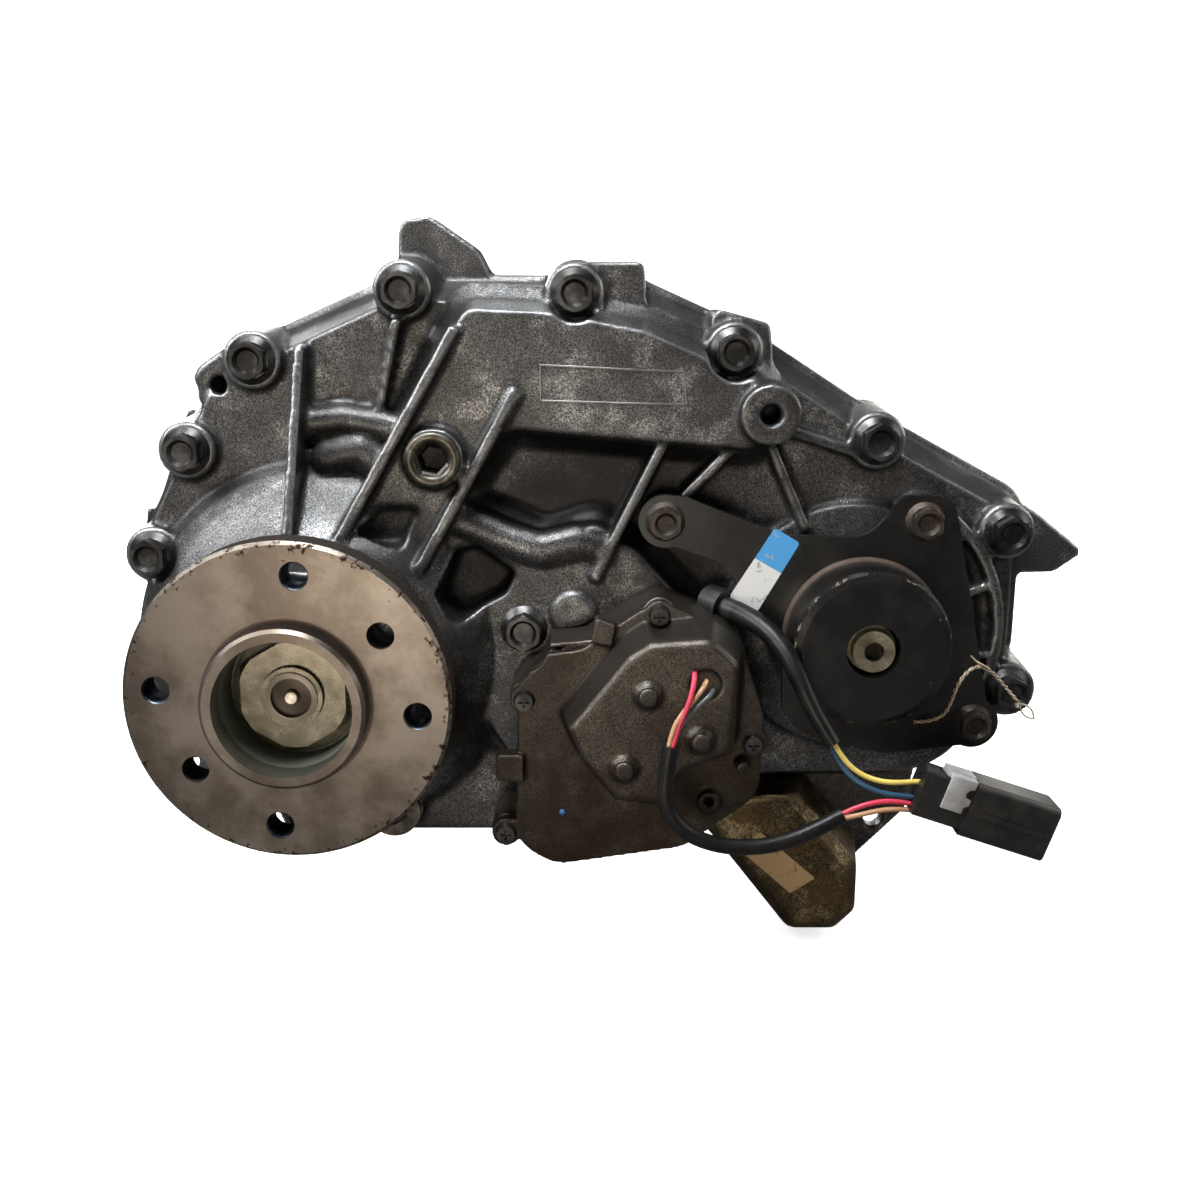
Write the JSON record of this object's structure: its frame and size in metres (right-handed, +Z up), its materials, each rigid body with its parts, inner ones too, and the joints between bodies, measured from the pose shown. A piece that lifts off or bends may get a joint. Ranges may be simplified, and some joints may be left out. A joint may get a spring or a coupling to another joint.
{
  "type": "transfer case",
  "caption": "Two-speed chain-driven four-wheel-drive transfer case with ribbed cast halves, rear flange, shift actuator, vibration damper and wiring loom.",
  "frame": {"origin": "main axis in the face that bolts to the gearbox", "axes": "+Y along the main axis towards the gearbox, +Z up in the vehicle, +X to the right seen from behind"},
  "size_m": [0.4619, 0.23, 0.3538],
  "materials": {
    "cast_case": "aged sand-cast grain, oily",
    "cast_front": "aged cast grain",
    "cast_foot": "worn cast, stained",
    "bolt_steel": "zinc plated, dull",
    "flange_steel": "turned, light rust",
    "bright_steel": "machined",
    "gear_steel": "ground",
    "bearing_steel": "polished",
    "chain_steel": "oiled",
    "cast_actuator": "die-cast, stained",
    "black_paint": "satin black",
    "damper_rubber": "aged",
    "seal_rubber": "oiled",
    "loom_sleeve": "soft black sleeve",
    "wire_bare": "coloured insulation",
    "connector_black": "moulded",
    "connector_grey": "moulded"
  },
  "bodies": {
    "case": {"front_case": "cast_front", "rear_case": "cast_case", "case_bolts": "bolt_steel", "dowel_pins": "bolt_steel", "ring_gear": "gear_steel", "fill_plug": "bolt_steel", "drain_plug": "bolt_steel", "breather": "bright_steel", "oil_pump": "cast_case", "damper_bracket": "black_paint", "damper_rubber": "damper_rubber", "damper_bolt": "bright_steel", "bracket_bolts": "bolt_steel", "actuator_housing": "cast_actuator", "actuator_cover": "cast_actuator", "actuator_screws": "bolt_steel", "position_sensor": "connector_black", "mount_foot": "cast_foot", "foot_bolts": "bolt_steel", "motor_loom": "loom_sleeve", "sensor_loom": "loom_sleeve", "loom_wires": "wire_bare", "connector_body": "connector_black", "input_bearing_outer": "bearing_steel", "rear_bearing_outer": "bearing_steel", "front_bearing_outer": "bearing_steel", "tail_bearing_outer": "bearing_steel", "input_seal": "seal_rubber", "rear_seal": "seal_rubber", "front_seal": "seal_rubber", "shift_rail": "gear_steel", "chain": "chain_steel"},
    "rear_output": {"main_shaft": "bright_steel", "rear_flange": "flange_steel", "flange_nut": "bright_steel", "rear_bearing_inner": "bearing_steel"},
    "input": {"input_shaft": "gear_steel", "input_bearing_inner": "bearing_steel"},
    "carrier": {"planet_carrier": "gear_steel"},
    "planet_1": {"planet_gear_1": "gear_steel"},
    "planet_2": {"planet_gear_2": "gear_steel"},
    "planet_3": {"planet_gear_3": "gear_steel"},
    "planet_4": {"planet_gear_4": "gear_steel"},
    "chain_drive": {"drive_sprocket": "gear_steel"},
    "front_output": {"driven_sprocket": "gear_steel", "front_shaft": "gear_steel", "front_flange": "flange_steel", "front_flange_nut": "bright_steel", "front_bearing_inner": "bearing_steel", "tail_bearing_inner": "bearing_steel"},
    "cam": {"shift_cam": "gear_steel"},
    "worm": {"actuator_worm": "gear_steel"},
    "range_fork": {"range_fork": "gear_steel"},
    "range_collar": {"range_collar": "gear_steel"},
    "mode_fork": {"mode_fork": "gear_steel"},
    "mode_collar": {"mode_collar": "gear_steel"},
    "damper": {"damper_mass": "black_paint"},
    "lock": {"connector_lock": "connector_grey"}
  },
  "joints": [
    {"name": "rear_output_spin", "type": "hinge", "parent": "case", "child": "rear_output", "pos_m": [0, -0.1, 0], "axis": [0, 1, 0], "continuous": true, "deforming": ["chain"]},
    {"name": "input_spin", "type": "hinge", "parent": "case", "child": "input", "pos_m": [0, -0.03, 0], "axis": [0, 1, 0], "continuous": true},
    {"name": "carrier_spin", "type": "hinge", "parent": "case", "child": "carrier", "pos_m": [0, -0.044, 0], "axis": [0, 1, 0], "continuous": true},
    {"name": "planet_1_spin", "type": "hinge", "parent": "carrier", "child": "planet_1", "pos_m": [0.048, -0.044, 0], "axis": [0, 1, 0], "continuous": true},
    {"name": "planet_2_spin", "type": "hinge", "parent": "carrier", "child": "planet_2", "pos_m": [0, -0.044, 0.048], "axis": [0, 1, 0], "continuous": true},
    {"name": "planet_3_spin", "type": "hinge", "parent": "carrier", "child": "planet_3", "pos_m": [-0.048, -0.044, 0], "axis": [0, 1, 0], "continuous": true},
    {"name": "planet_4_spin", "type": "hinge", "parent": "carrier", "child": "planet_4", "pos_m": [0, -0.044, -0.048], "axis": [0, 1, 0], "continuous": true},
    {"name": "chain_drive_spin", "type": "hinge", "parent": "case", "child": "chain_drive", "pos_m": [0, -0.117, 0], "axis": [0, 1, 0], "continuous": true},
    {"name": "front_output_spin", "type": "hinge", "parent": "case", "child": "front_output", "pos_m": [0.2474, -0.08, 0.0111], "axis": [0, 1, 0], "continuous": true},
    {"name": "shift_cam_turn", "type": "hinge", "parent": "case", "child": "cam", "pos_m": [0.125, -0.1, -0.012], "axis": [0, 1, 0], "range_deg": [0, 60]},
    {"name": "motor_worm_spin", "type": "hinge", "parent": "case", "child": "worm", "pos_m": [0.1525, -0.161, -0.012], "axis": [0, 0, 1], "range_deg": [-1440, 0]},
    {"name": "range_fork_slide", "type": "slide", "parent": "case", "child": "range_fork", "axis": [0, 1, 0], "range_m": [-0.008, 0]},
    {"name": "range_collar_slide", "type": "slide", "parent": "rear_output", "child": "range_collar", "axis": [0, 1, 0], "range_m": [-0.008, 0]},
    {"name": "mode_fork_slide", "type": "slide", "parent": "case", "child": "mode_fork", "axis": [0, 1, 0], "range_m": [0, 0.006]},
    {"name": "mode_collar_slide", "type": "slide", "parent": "rear_output", "child": "mode_collar", "axis": [0, 1, 0], "range_m": [0, 0.006]},
    {"name": "damper_slide", "type": "slide", "parent": "case", "child": "damper", "axis": [0, 1, 0], "range_m": [-0.001, 0.0002], "stiffness_N_per_m": 30000},
    {"name": "connector_lock_slide", "type": "slide", "parent": "case", "child": "lock", "axis": [0.9487, 0, -0.3162], "range_m": [-0.003, 0]}
  ],
  "couplings": [
    {"joint": "input_spin", "follows": "rear_output_spin", "ratio": 1},
    {"joint": "carrier_spin", "follows": "rear_output_spin", "ratio": 0.375},
    {"joint": "planet_1_spin", "follows": "rear_output_spin", "ratio": -1.875},
    {"joint": "planet_2_spin", "follows": "rear_output_spin", "ratio": -1.875},
    {"joint": "planet_3_spin", "follows": "rear_output_spin", "ratio": -1.875},
    {"joint": "planet_4_spin", "follows": "rear_output_spin", "ratio": -1.875},
    {"joint": "chain_drive_spin", "follows": "rear_output_spin", "ratio": 1},
    {"joint": "front_output_spin", "follows": "rear_output_spin", "ratio": 1},
    {"joint": "motor_worm_spin", "follows": "shift_cam_turn", "ratio": -24},
    {"joint": "range_fork_slide", "follows": "shift_cam_turn", "m_per_rad": -0.0076394},
    {"joint": "range_collar_slide", "follows": "shift_cam_turn", "m_per_rad": -0.0076394},
    {"joint": "mode_collar_slide", "follows": "mode_fork_slide", "ratio": 1}
  ]
}
